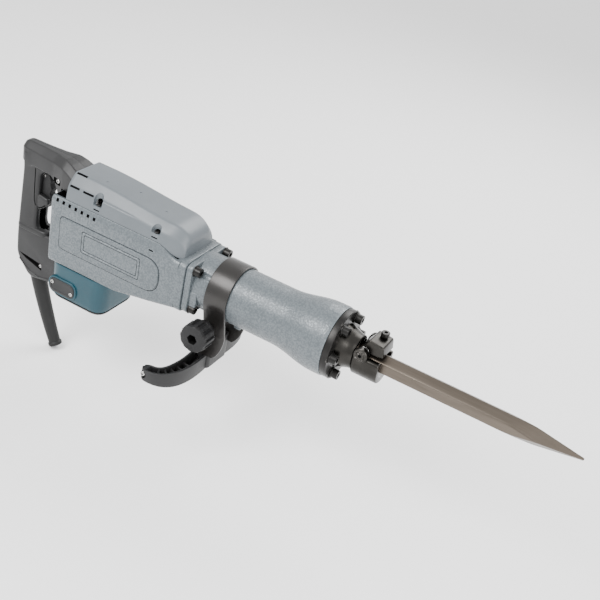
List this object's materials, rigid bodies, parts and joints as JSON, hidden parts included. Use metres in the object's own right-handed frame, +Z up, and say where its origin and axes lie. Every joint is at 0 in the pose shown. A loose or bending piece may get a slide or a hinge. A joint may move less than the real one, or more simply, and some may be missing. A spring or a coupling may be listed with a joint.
{
  "type": "electric jackhammer",
  "caption": "Electric demolition hammer with a rear D-handle, ribbed bow side handle on a clamp band, and a hexagon-shank bull-point chisel.",
  "frame": {"origin": "centre of the flat underside of the tail cover's foot, straight below the motor shaft", "axes": "+X along the hammer axis towards the chisel point, +Y towards the tool's left, +Z up through the top cover"},
  "size_m": [1.061, 0.2608, 0.4043],
  "materials": {
    "hammered_paint": "hammered grey-blue enamel",
    "grey_plastic": "fine satin grain",
    "black_plastic": "fine matte grain",
    "teal_plastic": "satin",
    "black_rubber": "matte",
    "black_steel": "black oxide, slightly glossy",
    "gunmetal": "phosphated, satin",
    "bright_steel": "ground",
    "forged_steel": "forged and oiled",
    "aluminium": "as cast",
    "laminations": "stacked sheet, varnished",
    "copper": "copper, satin",
    "carbon": "pressed carbon"
  },
  "bodies": {
    "frame": {"main_housing": "hammered_paint", "top_cover": "grey_plastic", "cylinder_case": "hammered_paint", "front_cover": "gunmetal", "retainer_block": "black_steel", "latch_pin": "bright_steel", "latch_spring": "bright_steel", "cylinder_liner": "bright_steel", "anvil_bush": "gunmetal", "nose_damper": "black_rubber", "hex_bush": "bright_steel", "gear_plate": "aluminium", "crank_bearing": "bright_steel", "motor_bearing_upper": "bright_steel", "motor_bearing_lower": "bright_steel", "stator": "laminations", "tail_cover": "teal_plastic", "tail_foot": "black_rubber", "brush_cover_right": "black_plastic", "brush_cover_left": "black_plastic", "brush_holder_right": "copper", "brush_holder_left": "copper", "carbon_brush_right": "carbon", "carbon_brush_left": "carbon", "handle_shell_right": "black_plastic", "handle_shell_left": "black_plastic", "trigger_pin": "bright_steel", "switch_body": "black_plastic", "cord_guard": "black_rubber", "flange_bolt_1": "black_steel", "flange_bolt_2": "black_steel", "flange_bolt_3": "black_steel", "flange_bolt_4": "black_steel", "nose_bolt_1": "black_steel", "nose_bolt_2": "black_steel", "nose_bolt_3": "black_steel", "nose_bolt_4": "black_steel", "nose_bolt_5": "black_steel", "nose_bolt_6": "black_steel"},
    "latch": {"latch_lever": "gunmetal", "latch_bolt": "black_steel"},
    "chisel": {"chisel": "forged_steel"},
    "piston": {"piston": "aluminium"},
    "striker": {"striker": "bright_steel"},
    "anvil": {"anvil": "bright_steel"},
    "armature": {"armature_shaft": "bright_steel", "armature_core": "laminations", "commutator": "copper", "fan": "black_plastic"},
    "lay_gear": {"lay_gear": "bright_steel"},
    "crank": {"crank_wheel": "bright_steel", "crankshaft": "bright_steel"},
    "rod": {"connecting_rod": "bright_steel", "wrist_pin": "bright_steel"},
    "trigger": {"trigger": "black_plastic"},
    "lock_button": {"lock_button": "black_plastic"},
    "side_handle": {"clamp_band": "black_steel", "side_bow": "black_plastic", "clamp_bolt": "black_steel"},
    "knob": {"clamp_knob": "black_plastic"}
  },
  "joints": [
    {"name": "armature_spin", "type": "hinge", "parent": "frame", "child": "armature", "pos_m": [0, 0, 0.1], "axis": [0, 0, 1], "continuous": true},
    {"name": "lay_gear_spin", "type": "hinge", "parent": "frame", "child": "lay_gear", "pos_m": [0.0504, 0, 0.19], "axis": [0, 0, 1], "continuous": true},
    {"name": "crank_spin", "type": "hinge", "parent": "frame", "child": "crank", "pos_m": [0.1104, 0, 0.17], "axis": [0, 0, 1], "continuous": true},
    {"name": "rod_turn", "type": "hinge", "parent": "crank", "child": "rod", "pos_m": [0.1274, 0, 0.14], "axis": [0, 0, 1], "continuous": true},
    {"name": "piston_slide", "type": "slide", "parent": "frame", "child": "piston", "axis": [1, 0, 0], "range_m": [-0.034, 0]},
    {"name": "striker_slide", "type": "slide", "parent": "frame", "child": "striker", "axis": [1, 0, 0], "range_m": [-0.042, 0]},
    {"name": "anvil_slide", "type": "slide", "parent": "frame", "child": "anvil", "axis": [1, 0, 0], "range_m": [-0.006, 0]},
    {"name": "chisel_slide", "type": "slide", "parent": "frame", "child": "chisel", "axis": [1, 0, 0], "range_m": [0, 0.018]},
    {"name": "latch_lift", "type": "hinge", "parent": "frame", "child": "latch", "pos_m": [0.527, 0, 0.156], "axis": [0, -1, 0], "range_deg": [0, 45], "stiffness_Nm_per_rad": 0.25, "springref_deg": -28.65},
    {"name": "trigger_pull", "type": "hinge", "parent": "frame", "child": "trigger", "pos_m": [-0.124, 0, 0.197], "axis": [0, 1, 0], "range_deg": [0, 7], "stiffness_Nm_per_rad": 0.8, "springref_deg": -8.59},
    {"name": "lock_button_press", "type": "slide", "parent": "frame", "child": "lock_button", "axis": [0, -1, 0], "range_m": [0, 0.003], "stiffness_N_per_m": 300, "springref_m": -0.002},
    {"name": "side_handle_swivel", "type": "hinge", "parent": "frame", "child": "side_handle", "pos_m": [0.273, 0, 0.14], "axis": [1, 0, 0], "continuous": true},
    {"name": "knob_turn", "type": "hinge", "parent": "side_handle", "child": "knob", "pos_m": [0.263, -0.07, 0.081], "axis": [0, -1, 0], "range_deg": [0, 720]}
  ],
  "couplings": [
    {"joint": "lay_gear_spin", "follows": "armature_spin", "ratio": -0.2},
    {"joint": "crank_spin", "follows": "armature_spin", "ratio": 0.066667},
    {"joint": "rod_turn", "follows": "armature_spin", "ratio": -0.066667}
  ]
}
